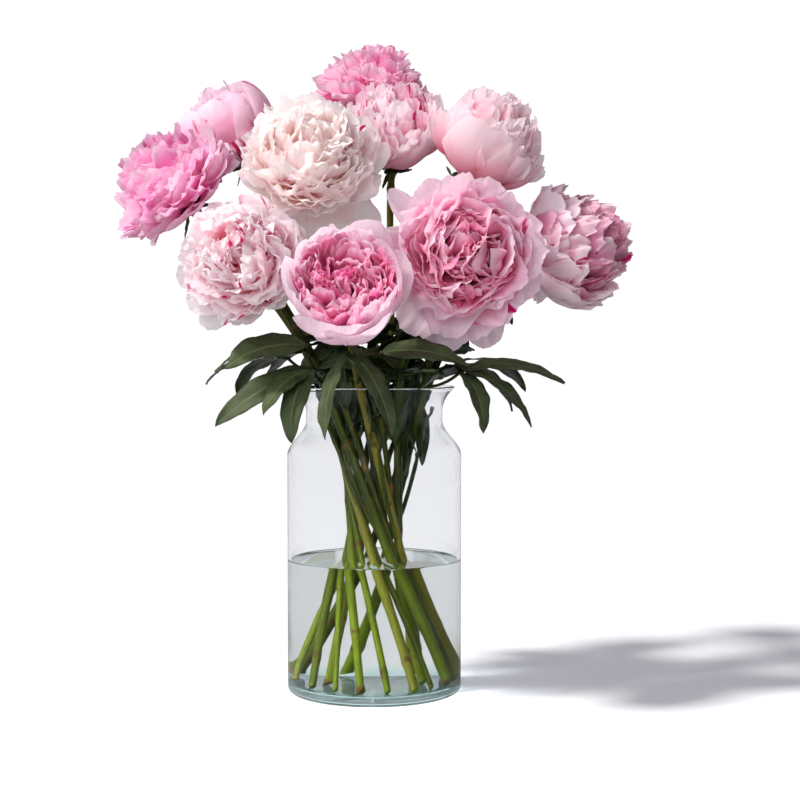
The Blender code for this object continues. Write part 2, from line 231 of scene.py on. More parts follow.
# ------------------------------------------------------------------ the stems
# Ten cut stems and six leafy shoots without a bloom, green and slightly ribbed, paler and
# yellower where they have stood in water, with brownish joints where leaves were stripped
# and a slanting cut at the foot. Their very dark green above the water is partly their own
# colour and partly painted shade, for the bouquet that shades the neck. Each is a round bar
# swept along its own line; a stem swells to a cup under its bloom.
blooms = {  # middle, facing (azimuth and elevation in degrees), radius, form
    "top": ((0.004, 0.130, 0.611), (30, 66), 0.060, "tuft"),
    "upper_left": ((-0.146, 0.070, 0.556), (200, 58), 0.051, "bud"),
    "left": ((-0.199, -0.010, 0.501), (190, 50), 0.064, "dome"),
    "centre": ((-0.060, -0.050, 0.518), (275, 40), 0.066, "rosette"),
    "upper_centre": ((0.020, 0.032, 0.546), (280, 64), 0.050, "crown"),
    "upper_right": ((0.106, -0.020, 0.529), (340, 58), 0.052, "globe"),
    "lower_left": ((-0.120, -0.090, 0.422), (255, 16), 0.059, "rosette"),
    "front": ((-0.023, -0.140, 0.389), (268, 34), 0.056, "cup"),
    "lower_right": ((0.085, -0.092, 0.424), (277, 6), 0.068, "loose"),
    "right": ((0.191, 0.000, 0.432), (338, 18), 0.062, "globe"),
}
seat_depth = {  # how far each form's seat lies below its middle, in radii
    "tuft": 0.58, "crown": 0.66, "dome": 0.58, "globe": 0.72,
    "bud": 0.72, "rosette": 0.50, "cup": 0.52, "loose": 0.45,
}
stems = {  # angle and distance from the axis in the neck, distance at the foot, radius
    "right": (8, 0.050, 0.064, 0.0040),
    "upper_right": (335, 0.052, 0.066, 0.0038),
    "upper_centre": (55, 0.018, 0.034, 0.0036),
    "top": (84, 0.050, 0.064, 0.0038),
    "upper_left": (130, 0.052, 0.064, 0.0038),
    "left": (174, 0.050, 0.066, 0.0042),
    "lower_left": (214, 0.052, 0.064, 0.0048),
    "centre": (231, 0.018, 0.036, 0.0040),
    "front": (258, 0.052, 0.064, 0.0042),
    "lower_right": (298, 0.050, 0.062, 0.0044),
}
spare_shoots = {  # leafy shoots with no bloom: angle in the neck, top's height, radius, tone
    "right": (46, 0.282, 0.0028, 0.60),
    "top": (107, 0.276, 0.0026, 0.30),
    "upper_left": (152, 0.284, 0.0030, 0.30),
    "left": (194, 0.270, 0.0026, 0.12),
    "lower_left": (236, 0.280, 0.0028, 0.08),
    "front": (278, 0.272, 0.0027, 0.02),
}
twist = 130.0
foot_height, neck_level = 0.0114, 0.292
shoot_foot, shoot_neck = 0.061, 0.048
cup_length, cup_radius, cup_gap = 0.012, 0.0085, 0.0003
stem_joints, shoot_joints = 0.062, 0.064  # from joint to joint


def facing(azimuth, elevation):
    a, e = math.radians(azimuth), math.radians(elevation)
    return Vector((math.cos(a) * math.cos(e), math.sin(a) * math.cos(e), math.sin(e)))


def around(azimuth, radius, height):
    a = math.radians(azimuth)
    return Vector((radius * math.cos(a), radius * math.sin(a), height))


def bloom_seat(name):
    """Where the bloom sits on its stem, and the way that it faces."""
    middle, way, radius, form = blooms[name]
    axis = facing(*way)
    return Vector(middle) - axis * seat_depth[form] * radius, axis


def stem_line(name, count):
    """The stem's line: straight from foot to neck, then a smooth bend to its bloom."""
    angle, neck_out, foot_out, _ = stems[name]
    foot = around(angle + twist, foot_out, foot_height)
    neck = around(angle, neck_out, neck_level)
    seat, axis = bloom_seat(name)
    end = seat - axis * (cup_length + cup_gap)
    span = (end - neck).length
    leaving = (neck - foot).normalized() * span * 1.1
    arriving = axis * span * 0.9
    line = [foot + (neck - foot) * k / count for k in range(count)]
    for t in steps(0.0, 1.0, count):
        line.append(
            (2 * t**3 - 3 * t**2 + 1) * neck
            + (t**3 - 2 * t**2 + t) * leaving
            + (3 * t**2 - 2 * t**3) * end
            + (t**3 - t**2) * arriving
        )
    return line


def shoot_line(name, count):
    """The shoot's line: straight from foot to top."""
    angle, top, _, _ = spare_shoots[name]
    foot, end = around(angle + twist, shoot_foot, foot_height), around(angle, shoot_neck, top)
    return [foot + (end - foot) * k / count for k in range(count + 1)]


def guide(name, line):
    """A curve through the line's points, for the stem tree to sweep."""
    curve = bpy.data.curves.new(name, "CURVE")
    curve.dimensions = "3D"
    spline = curve.splines.new("POLY")
    spline.points.add(len(line) - 1)
    for point, where in zip(spline.points, line):
        point.co = (*where, 1.0)
    return placed(name, curve)


def tree_of(*values):
    """The tree of the first socket among the values."""
    return next(v.id_data for v in values if isinstance(v, bpy.types.NodeSocket))


def calc(kind, *values):
    """A Math node of that kind on sockets and numbers; gives its output."""
    return node(tree_of(*values), "ShaderNodeMath", enumerate(values), operation=kind).outputs[0]


# From here on, plain arithmetic on a socket adds a Math node to the socket's tree.
for sign, kind in (
    ("add", "ADD"), ("sub", "SUBTRACT"), ("mul", "MULTIPLY"), ("truediv", "DIVIDE"), ("pow", "POWER")
):
    setattr(bpy.types.NodeSocket, f"__{sign}__", lambda a, b, kind=kind: calc(kind, a, b))
    setattr(bpy.types.NodeSocket, f"__r{sign}__", lambda a, b, kind=kind: calc(kind, b, a))


def vector_calc(kind, first, second, output="Vector"):
    inputs = {0: first, "Scale" if kind == "SCALE" else 1: second}
    return node(first.id_data, "ShaderNodeVectorMath", inputs, operation=kind).outputs[output]


def packed(x, y, z):
    return node(tree_of(x, y, z), "ShaderNodeCombineXYZ", enumerate((x, y, z))).outputs[0]


def rough(where, scale, detail, harsh=0.5):
    """Noise about 0.5 at a place."""
    inputs = {"Vector": where, "Scale": scale, "Detail": detail, "Roughness": harsh}
    return node(where.id_data, "ShaderNodeTexNoise", inputs).outputs[0]


def captured(mesh, **values):
    """Holds values on a geometry as they are here, by name, with the geometry itself."""
    keep = mesh.id_data.nodes.new("GeometryNodeCaptureAttribute")
    for name, value in values.items():
        keep.capture_items.new("VECTOR" if value.type == "VECTOR" else "FLOAT", name)
        joined(value, keep.inputs[name])
    joined(mesh, keep.inputs["Geometry"])
    return keep.outputs


def stored(mesh, name, value, **settings):
    """The mesh with an attribute of that name."""
    inputs = {"Geometry": mesh, "Name": name, "Value": value}
    return node(mesh.id_data, "GeometryNodeStoreNamedAttribute", inputs, **settings).outputs[0]


def charted(mesh, along, across):
    """The mesh with a UV map, along and across."""
    return stored(mesh, "UVMap", packed(along, across, 0.0), data_type="FLOAT2", domain="CORNER")


def new_tree(name, output, inputs):
    """A Geometry Nodes tree with these named inputs, and the inputs' sockets."""
    tree = bpy.data.node_groups.new(name, "GeometryNodeTree")
    tree.interface.new_socket(output, in_out="OUTPUT", socket_type="NodeSocketGeometry")
    for label, kind, value in inputs:
        made = tree.interface.new_socket(label, in_out="INPUT", socket_type="NodeSocket" + kind)
        if value is not None:
            made.default_value = value
    return tree, tree.nodes.new("NodeGroupInput").outputs


def tree_end(mesh, skin):
    """Realizes the copies, shades them smooth, gives them the skin and ends the tree."""
    tree = mesh.id_data
    whole = node(tree, "GeometryNodeRealizeInstances", {0: mesh})
    smooth = node(tree, "GeometryNodeSetShadeSmooth", {"Geometry": whole.outputs[0]})
    coat = node(tree, "GeometryNodeSetMaterial", {"Geometry": smooth.outputs[0], "Material": skin})
    node(tree, "NodeGroupOutput", {0: coat.outputs[0]})


def grown(piece, tree, **sizes):
    """Puts a tree on a piece with these named inputs, and gives the piece as a plain mesh."""
    modifier = piece.modifiers.new(tree.name, "NODES")
    modifier.node_group = tree
    for item in tree.interface.items_tree:
        label = item.name.lower().replace(" ", "_")
        if item.in_out == "INPUT" and label in sizes:
            modifier[item.identifier] = sizes[label]
    return made_plain(piece)


stem_tree, given = new_tree("sweep a stem", "Stem", (
    ("Line", "Geometry", None), ("Radius", "Float", 0.004), ("Cup radius", "Float", 0.0085),
    ("Cup length", "Float", 0.012), ("Joint spacing", "Float", 0.075), ("Joint shift", "Float", 0.0),
    ("Slant", "Float", 0.9), ("Tone", "Float", 0.5), ("Sides", "Int", 14), ("Skin", "Material", None),
))
t = stem_tree
path = t.nodes.new("GeometryNodeSplineParameter").outputs
to_end = t.nodes.new("GeometryNodeSplineLength").outputs["Length"] - path["Length"]
off_joint = calc("PINGPONG", path["Length"] + given["Joint shift"], given["Joint spacing"] * 0.5)
swell = calc("EXPONENT", off_joint * -420.0) * 0.30
spot = t.nodes.new("GeometryNodeInputPosition").outputs[0]
uneven = (rough(spot, 60.0, 1.0) - 0.5) * 0.16
near_cup = calc("MAXIMUM", 1.0 - to_end / given["Cup length"], 0.0) ** 1.6
thick = given["Radius"] * (swell + uneven + 1.0)
thick = thick + near_cup * (given["Cup radius"] - given["Radius"])
tangent = t.nodes.new("GeometryNodeInputTangent").outputs[0]
keep = captured(given["Line"], centre=spot, run=path["Length"], way=tangent, joint=swell)
ring = node(t, "GeometryNodeCurvePrimitiveCircle", {"Radius": 1.0, "Resolution": given["Sides"]})
round_it = captured(
    ring.outputs["Curve"], round=t.nodes.new("GeometryNodeSplineParameter").outputs["Factor"]
)
sweep = node(t, "GeometryNodeCurveToMesh", {
    "Fill Caps": True, "Curve": keep["Geometry"], "Profile Curve": round_it["Geometry"], "Scale": thick,
})
at_foot = calc("LESS_THAN", keep["run"], 0.0005)  # only the cut end's ring slides
off_line = vector_calc("SUBTRACT", spot, keep["centre"])
slide = vector_calc("DOT_PRODUCT", off_line, (0.8, -0.6, 0.0), "Value") * given["Slant"] * at_foot
slant = node(t, "GeometryNodeSetPosition", {
    "Geometry": sweep.outputs[0], "Offset": vector_calc("SCALE", keep["way"], slide),
})
bar = stored(stored(slant.outputs[0], "joint", keep["joint"]), "tone", given["Tone"])
tree_end(charted(bar, keep["run"], round_it["round"]), given["Skin"])


def chart_of(tree):
    """The UV map's two numbers, along and across."""
    return parted(node(tree, "ShaderNodeUVMap", uv_map="UVMap").outputs[0])[:2]


def carried(tree, name):
    """A number that the mesh carries by name."""
    return node(tree, "ShaderNodeAttribute", attribute_name=name).outputs["Fac"]


def bumped(height, distance, strength, shader):
    inputs = {"Distance": distance, "Strength": strength, "Height": height}
    joined(node(height.id_data, "ShaderNodeBump", inputs).outputs[0], shader.inputs["Normal"])


stem_skin, t, skin = new_skin("stem skin", 0.42, 0.14)
along, across = chart_of(t)
place, tone = object_place(t), carried(t, "tone")
soaked = 1.0 - ramped(parted(place)["Z"], 0.10, 0.20)
# Painted shade: the dark greens above the water are deeper than the stems' own colour, for the shade of the
# bouquet over the neck.
fresh_and_shaded = blend(rough(place, 22.0, 2.0), (0.004, 0.010, 0.0004), (0.021, 0.046, 0.0012))
pale = blend(rough(place, 30.0, 2.0), (0.042, 0.100, 0.0012), (0.19, 0.235, 0.009))
colour = blend(soaked, fresh_and_shaded, pale)
colour = blend(ramped(tone, 0.40, 1.0) * 0.65, colour, (0.19, 0.155, 0.020))
colour = blend((1.0 - ramped(tone, 0.0, 0.40)) * 0.70, colour, (0.020, 0.020, 0.002))
ribs = rough(packed(along * 12.0, across * 9.0, 0.0), 1.0, 3.0)
colour = blend(ramped(ribs, 0.45, 0.70) * 0.30, colour, (0.12, 0.155, 0.008))
scars = carried(t, "joint") * ramped(rough(place, 160.0, 2.0), 0.42, 0.62)
colour = blend(ramped(scars, 0.03, 0.12), colour, (0.085, 0.042, 0.010))
specks = ramped(rough(place, 420.0, 2.0), 0.62, 0.70)
colour = blend(specks * 0.7, colour, (0.09, 0.045, 0.012))
joined(colour, skin.inputs["Base Color"])
bumped(ribs, 0.0004, 0.5, skin)

for order, (name, (_, _, _, radius)) in enumerate(stems.items()):
    seat, axis = bloom_seat(name)
    line = stem_line(name, 40) + [seat - axis * cup_length * k / 6 for k in (5, 4, 3, 2, 1, 0)]
    stem = grown(
        guide("stem_bar_" + name, line), stem_tree, radius=radius * 0.97, cup_radius=cup_radius,
        cup_length=cup_length, joint_spacing=stem_joints, joint_shift=0.031 * order, slant=0.8, sides=14,
        skin=stem_skin, tone=(order * 0.37) % 1.0,
    )
    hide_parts("stem_" + name)
    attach(stem, "root")

for order, (name, (_, _, radius, tone)) in enumerate(spare_shoots.items()):
    shoot = grown(
        guide("shoot_bar_" + name, shoot_line(name, 30)), stem_tree, radius=radius, cup_radius=radius,
        cup_length=cup_length, joint_spacing=shoot_joints, joint_shift=0.023 * order, slant=0.8, sides=12,
        skin=stem_skin, tone=tone,
    )
    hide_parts("stem_" + name)
    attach(shoot, "root")

# ------------------------------------------------------------------ the leaves
# Lance-shaped leaflets, one to four on a round stalk that springs from a stem, most of
# them just above the rim, where they fold over it. Each is keeled along its midrib, dark
# and slightly glossy above, that dark partly its own green and partly painted shade,
# grey-green and matt beneath.
leaf_stalks = [  # stem, height on it, stalk's far end; leaflets: azimuth, slopes, length, width, roll
    ("lower_left", 0.330, (-0.062, -0.060, 0.340), [
        (168, 20, -52, 0.100, 0.028, -25), (204, 10, -38, 0.086, 0.036, -38),
    ]),
    ("lower_left", 0.302, (-0.058, -0.052, 0.318), [
        (187, -14, -46, 0.108, 0.030, -40), (222, -6, -60, 0.078, 0.028, -20),
        (243, -16, -104, 0.086, 0.028, 0),
    ]),
    ("front", 0.322, (-0.024, -0.078, 0.334), [
        (243, -26, -96, 0.096, 0.022, 30), (303, -14, -80, 0.108, 0.028, 0),
    ]),
    ("upper_right", 0.300, (0.084, -0.044, 0.316), [
        (2, 20, -34, 0.104, 0.026, 18), (300, -20, -84, 0.076, 0.024, 0),
        (338, -4, -70, 0.092, 0.025, 14), (229, 0, -32, 0.070, 0.024, 35),
    ]),
    ("lower_right", 0.318, (0.008, -0.084, 0.334), [(356, 12, -30, 0.084, 0.033, 38)]),
    ("lower_right", 0.352, (0.046, -0.052, 0.366), [(350, -8, -44, 0.050, 0.022, 20)]),
    ("left", 0.312, (-0.084, 0.012, 0.326), [
        (176, 18, -50, 0.092, 0.028, 0), (148, 8, -66, 0.084, 0.026, 0),
    ]),
    ("upper_left", 0.316, (-0.052, 0.064, 0.328), [
        (140, 18, -56, 0.098, 0.029, 0), (108, 8, -70, 0.088, 0.027, 0),
    ]),
    ("top", 0.322, (0.010, 0.076, 0.334), [(84, 16, -60, 0.100, 0.030, 0), (54, 4, -76, 0.088, 0.027, 0)]),
    ("right", 0.312, (0.082, 0.034, 0.322), [(36, 16, -54, 0.098, 0.029, 0), (8, -6, -74, 0.080, 0.025, 0)]),
    ("left", 0.400, (-0.140, -0.022, 0.424), [(262, -30, -76, 0.040, 0.015, 0)]),
    ("upper_centre", 0.400, (0.022, -0.002, 0.424), [
        (286, 10, 40, 0.046, 0.017, 0), (30, 20, 50, 0.050, 0.018, 0),
    ]),
    ("upper_right", 0.430, (0.068, -0.020, 0.452), [
        (350, 40, 20, 0.050, 0.018, 0), (150, 20, 44, 0.048, 0.018, 0),
    ]),
    ("centre", 0.380, (-0.046, -0.030, 0.402), [
        (200, 22, 44, 0.050, 0.018, 0), (20, 30, 10, 0.046, 0.017, 0),
    ]),
    ("top", 0.430, (0.004, 0.096, 0.456), [(100, 20, -30, 0.056, 0.019, 0)]),
    ("upper_left", 0.400, (-0.092, 0.074, 0.424), [(120, 20, -30, 0.056, 0.019, 0)]),
    ("right", 0.350, (0.112, 0.020, 0.370), [(60, 10, -30, 0.058, 0.020, 0)]),
]
side_shoots = [  # thin shoots left on inside the vase, whose leaves crowd the neck
    ("upper_right", 0.140, (0.042, -0.016, 0.232), [
        (350, 80, 66, 0.052, 0.013, 20), (170, 74, 50, 0.048, 0.012, 0),
    ]),
    ("right", 0.160, (0.038, 0.004, 0.250), [(20, 78, 60, 0.050, 0.013, 0), (120, 66, 40, 0.050, 0.014, 0)]),
    ("lower_right", 0.150, (0.022, -0.040, 0.244), [
        (320, 80, 70, 0.056, 0.014, 10), (150, 60, 30, 0.046, 0.013, 0),
    ]),
    ("upper_centre", 0.160, (0.008, 0.010, 0.256), [
        (60, 70, 60, 0.050, 0.015, 0), (250, 66, 30, 0.052, 0.015, 0),
    ]),
    ("centre", 0.150, (-0.014, -0.022, 0.250), [
        (220, 76, 60, 0.052, 0.015, 0), (20, 66, 30, 0.050, 0.014, 0),
    ]),
    ("front", 0.140, (0.004, -0.038, 0.238), [(280, 80, 84, 0.052, 0.014, 0), (30, 64, 30, 0.05, 0.014, 0)]),
    ("top", 0.150, (0.006, 0.036, 0.250), [(100, 78, 70, 0.050, 0.014, 0), (330, 60, 20, 0.05, 0.014, 0)]),
    ("lower_left", 0.150, (-0.030, -0.026, 0.240), [(330, 66, 40, 0.05, 0.014, 0)]),
]
leaf_thickness = 0.0005
stalk_radius, shoot_radius = 0.0015, 0.0021
stalk_sag, stalk_sunk = 0.10, 0.0012
crown_low, crown_top = 0.304, 0.352  # heights between which small leaves fill the crown
upright_leaves, bent_leaves = (0.226, 0.262), (0.270, 0.292)  # heights of those in the neck


def held(tree, name, kind="FLOAT"):
    """A number that each root carries by name."""
    return node(tree, "GeometryNodeInputNamedAttribute", {"Name": name}, data_type=kind).outputs["Attribute"]


def flat_blades(given):
    """One flat grid at each root, as one mesh, and its places along (0 to 1) and across."""
    tree = given["Roots"].id_data
    grid = node(tree, "GeometryNodeMeshGrid", {
        "Size X": 2.0, "Size Y": 1.0,
        "Vertices X": given["Steps across"], "Vertices Y": given["Steps along"],
    })
    flat = captured(grid.outputs["Mesh"], flat=tree.nodes.new("GeometryNodeInputPosition").outputs[0])
    spread = node(tree, "GeometryNodeInstanceOnPoints", {
        "Points": given["Roots"], "Instance": flat["Geometry"],
    })
    whole = node(tree, "GeometryNodeRealizeInstances", {0: spread.outputs["Instances"]})
    places = parted(flat["flat"])
    return whole.outputs[0], places["Y"] + 0.5, places["X"]


def rib(reach):
    """Out and up along a rib of even curvature, and its slope there."""
    length, first, last = (held(reach.id_data, name) for name in ("length", "first", "last"))
    swing = last - first
    slope = first + swing * reach
    out = calc("SINE", slope) - calc("SINE", first)
    up = calc("COSINE", first) - calc("COSINE", slope)
    return length / swing * out, length / swing * up, slope


def on_rib(out, up, slope, across, lift, roll):
    """A place beside and above the rib, rolled about it."""
    cosine, sine = calc("COSINE", roll), calc("SINE", roll)
    level, lift = across * cosine - lift * sine, across * sine + lift * cosine
    return out - lift * calc("SINE", slope), level, up + lift * calc("COSINE", slope)


def posed(mesh, local):
    """The blades moved to local places, turned by each root's pose and set at its start."""
    tree = mesh.id_data
    turn = {"Vector": local, "Rotation": held(tree, "pose", "FLOAT_VECTOR")}
    turned = node(tree, "ShaderNodeVectorRotate", turn, rotation_type="EULER_XYZ").outputs[0]
    place = vector_calc("ADD", turned, held(tree, "start", "FLOAT_VECTOR"))
    return node(tree, "GeometryNodeSetPosition", {"Geometry": mesh, "Position": place}).outputs[0]


leaf_tree, given = new_tree("grow leaflets", "Leaflets", (
    ("Roots", "Geometry", None), ("Steps along", "Int", 30), ("Steps across", "Int", 11),
    ("Stalk width", "Float", 0.0022), ("Fold", "Float", 0.24), ("Waviness", "Float", 0.0022),
    ("Skin", "Material", None),
))
t = leaf_tree
mesh, u, v = flat_blades(given)
far = calc("ABSOLUTE", v)
half = held(t, "wide") * (u**0.62 * (1.0 - u) ** 0.80) * 1.27
half = calc("MAXIMUM", half, given["Stalk width"] * (0.5 - u * 0.45))
wave = rough(packed(u * 5.0, v * 0.7, held(t, "seed")), 1.0, 1.0) - 0.5
wave = wave * given["Waviness"] * (far * 4.0)
lift = half * (far - far * far * 0.45) * given["Fold"] + wave
roll = held(t, "roll") + held(t, "wring") * u
x, y, z = on_rib(*rib(u), half * v, lift, roll)
local = packed(x, y + u * u * held(t, "sway"), z)
tree_end(charted(posed(mesh, local), u, v), given["Skin"])


def roots_mesh(name, rows):
    """A point for each blade, which carries the blade's numbers by name."""
    mesh = bpy.data.meshes.new(name)
    mesh.from_pydata([(0.0, 0.0, 0.0)] * len(rows), [], [])
    for key, value in rows[0].items():
        kind, slot = ("FLOAT_VECTOR", "vector") if isinstance(value, Vector) else ("FLOAT", "value")
        layer = mesh.attributes.new(key, kind, "POINT")
        for point, row in zip(layer.data, rows):
            setattr(point, slot, row[key])
    return placed(name, mesh)


def thickened(piece, thickness):
    """The sheet as a closed thin blade, whose back takes the second skin."""
    solid = piece.modifiers.new("thickness", "SOLIDIFY")
    solid.thickness = thickness
    solid.offset = 0.0
    solid.material_offset = 1
    return made_plain(piece)


def lit_through(tree, shader, colour, share):
    """Lets that share of the light through a skin, in the skin's own colour."""
    joined(colour, shader.inputs["Base Color"])
    mixed_skins(tree, share, shader, node(tree, "ShaderNodeBsdfTranslucent", {"Color": colour}))


def leaf_skin(name, dark, light, rib_colour, roughness, shine):
    """Leaf skin: pale midrib, side veins that sweep to the margin, blotchy green between."""
    made, t, skin = new_skin(name, roughness, shine)
    along, across = chart_of(t)
    far = calc("ABSOLUTE", across)
    colour = blend(ramped(rough(object_place(t), 45.0, 3.0), 0.35, 0.65), dark, light)
    vein = 1.0 - ramped(calc("PINGPONG", (along - far * 0.16) * 9.0, 0.5), 0.0, 0.09)
    lines = calc("MAXIMUM", vein * 0.45, 1.0 - ramped(far, 0.03, 0.10))
    lit_through(t, skin, blend(lines * 0.75, colour, rib_colour), 0.16)
    bumped(1.0 - lines, 0.0006, 0.7, skin)
    return made


# Painted shade: the top's dark greens are partly the leaves' own colour and partly deepened for the low
# light among the foliage.
leaf_top = leaf_skin(
    "leaf top", (0.0040, 0.010, 0.001), (0.019, 0.036, 0.0032), (0.062, 0.092, 0.018), 0.30, 0.30
)
leaf_back = leaf_skin(
    "leaf back", (0.040, 0.058, 0.022), (0.072, 0.098, 0.040), (0.15, 0.18, 0.07), 0.60, 0.25
)
wander = random.Random(7)


def leaflet(start, azimuth, first, last, length, width, roll):
    """The numbers that one leaflet carries; angles in degrees, sizes in metres."""
    return {
        "start": start, "pose": Vector((0.0, 0.0, math.radians(azimuth))),
        "first": math.radians(first), "last": math.radians(last), "length": length, "wide": width,
        "roll": math.radians(roll), "wring": math.radians(wander.uniform(-16, 16)),
        "sway": wander.uniform(-0.006, 0.006), "seed": wander.uniform(0, 50),
    }


def point_at(line, height):
    """The point of the line at that height."""
    for low, high in zip(line[:-1], line[1:]):
        if low.z <= height <= high.z:
            return low + (high - low) * (height - low.z) / (high.z - low.z)
    return line[-1]


for stem_name in stems:
    rows = []
    line = stem_line(stem_name, 40)
    for parent, height, far_end, leaflets in leaf_stalks + side_shoots:
        if parent != stem_name:
            continue
        root, far_end = point_at(line, height), Vector(far_end)
        along = (far_end - root).normalized()
        sag = Vector((0.0, 0.0, -stalk_sag * (far_end - root).length))
        stalk = [
            root + (far_end + along * 0.001 - root) * k + sag * 4 * k * (1 - k)
            for k in steps(0.0, 1.0, 12)
        ]
        piece = grown(
            guide("leaf_stalk", stalk), stem_tree, cup_radius=stalk_radius, cup_length=0.004,
            radius=stalk_radius if height > shoulder_low else shoot_radius, joint_spacing=10.0,
            joint_shift=5.0, slant=0.0, sides=10, skin=stem_skin, tone=0.2,
        )
        piece.name = "leaf_stalk_" + stem_name + "_" + str(len(rows))
        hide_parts("stem_" + stem_name)
        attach(piece, "root")
        for numbers in leaflets:
            rows.append(leaflet(far_end - along * stalk_sunk, *numbers))
    out_way = stems[stem_name][0]
    for k, height in enumerate(steps(crown_low, crown_top, 7)):  # small leaves that fill the crown
        inward = 0 if k % 4 == 0 else 180
        rows.append(leaflet(
            point_at(line, height), out_way + inward + wander.uniform(-70, 70), wander.uniform(10, 56),
            wander.uniform(-50, -10), wander.uniform(0.040, 0.060), wander.uniform(0.020, 0.030),
            wander.uniform(-40, 40),
        ))
    for side in (100, 180, 260):  # leaves squeezed upright among the stems in the neck
        rows.append(leaflet(
            point_at(line, wander.uniform(*upright_leaves)), out_way + side + wander.uniform(-25, 25),
            wander.uniform(74, 86), wander.uniform(50, 78), wander.uniform(0.046, 0.062),
            wander.uniform(0.016, 0.023), wander.uniform(-50, 50),
        ))
    if stem_name in ("front", "lower_right", "upper_right", "centre"):  # and one bent down there
        rows.append(leaflet(
            point_at(line, wander.uniform(*bent_leaves)), out_way + 100, wander.uniform(-72, -60),
            wander.uniform(-98, -90), wander.uniform(0.050, 0.070), wander.uniform(0.012, 0.016), 0,
        ))
    if stem_name in spare_shoots:  # and three on the top of the shoot beside it
        tip = shoot_line(stem_name, 30)[-1] - Vector((0.0, 0.0, 0.001))
        for turn, last in ((40, 70), (180, 62), (300, 30)):
            rows.append(leaflet(
                tip, spare_shoots[stem_name][0] + turn, 80, last, wander.uniform(0.040, 0.052),
                wander.uniform(0.016, 0.022), wander.uniform(-30, 30),
            ))
    leaves = grown(
        roots_mesh("leaves_" + stem_name, rows), leaf_tree, steps_along=24, steps_across=9,
        stalk_width=0.0022, fold=0.24, waviness=0.0028, skin=leaf_top,
    )
    leaves.data.materials.append(leaf_back)
    thickened(leaves, leaf_thickness)
    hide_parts("stem_" + stem_name)
    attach(leaves, "root")

# ------------------------------------------------------------------ the blooms
# Ten double peonies. Each has two whorls of broad guard petals round a mass of smaller,
# ruffled ones, all thin, soft and slightly see-through. Every petal is a flat grid bent
# on a rib that bows out and up, cupped across, pleated, wrung, and frilled at its margin.
petal_tree, given = new_tree("grow petals", "Petals", (
    ("Roots", "Geometry", None), ("Steps along", "Int", 12), ("Steps across", "Int", 10),
    ("Claw", "Float", 0.22), ("Ripples", "Float", 1.6), ("Skin", "Material", None),
))
t = petal_tree
mesh, u, v = flat_blades(given)
far, seed = calc("ABSOLUTE", v), held(t, "seed")
cut = (rough(packed(v * 2.8, seed * 7.3, 0.0), 1.0, 4.0, 0.66) - 0.45) * held(t, "notch")
drop = far**2.6 * 0.32 + cut
bulge = calc("SINE", calc("MINIMUM", u / 0.66, 1.0) * (math.pi / 2)) ** 1.3
outline = (1.0 - given["Claw"]) * bulge + given["Claw"]
taper = calc("MAXIMUM", u - 0.66, 0.0) * 0.40
half = held(t, "wide") * (outline - taper)
cup = held(t, "cup")
bend = cup * v
across = half * calc("SINE", bend) / cup
inward = half * (1.0 - calc("COSINE", bend)) / cup + held(t, "lean") * across
pleat = rough(packed(v * 1.5, u * 0.5, seed * 5.1), 1.0, 0.0) - 0.5
pleat = pleat * held(t, "pleat") * u**1.2
margin = calc("MAXIMUM", u, far * 0.92) ** 3.0 * calc("MINIMUM", u * 2.5, 1.0)
ripple = rough(packed(v * 1.5, u, seed * 11.7), given["Ripples"], 1.5) - 0.5
crinkle = rough(packed(v * 6.0, u * 3.0, seed * 3.3), 1.0, 1.0) - 0.5
ripple = (ripple + crinkle * 0.35) * (held(t, "frill") * margin)
roll = held(t, "curl") * calc("MAXIMUM", u - 0.68, 0.0) ** 2.0
inward = inward + pleat + (ripple - roll)
local = on_rib(*rib(u * (1.0 - drop)), across, inward, held(t, "wring") * u**1.5)
tree_end(charted(posed(mesh, packed(*local)), u, v), given["Skin"])


def petal_skin(name, claw, middle, tip, flame, thin):
    """Petal skin: deeper at the claw, for some blooms partly painted shade, fine veins along it, a magenta
    flame on some.
    """
    made, t, skin = new_skin(name, 0.48, 0.30)
    along, across = chart_of(t)
    struck, seed = carried(t, "struck"), carried(t, "seed")
    level = along + carried(t, "tint") + (rough(object_place(t), 40.0, 2.0) - 0.5) * 0.6
    colour = blend(ramped(level, 0.05, 0.60), claw, middle)
    colour = blend(ramped(level, 0.50, 1.00), colour, tip)
    grain = rough(packed(along * 1.6, across * 15.0, seed), 1.0, 3.0)
    colour = blend(ramped(grain, 0.48, 0.75) * 0.14, colour, claw)
    streak = rough(packed(along * 0.9, across * 1.7, seed), 1.0, 4.0)
    streak = ramped(streak + calc("MAXIMUM", (struck - 1.0) * 0.2, 0.0), 0.575, 0.66)
    lit_through(t, skin, blend(streak * calc("MINIMUM", struck, 1.0), colour, flame), thin)
    bumped(grain, 0.0006, 0.35, skin)
    return made


magenta = (0.60, 0.008, 0.16)
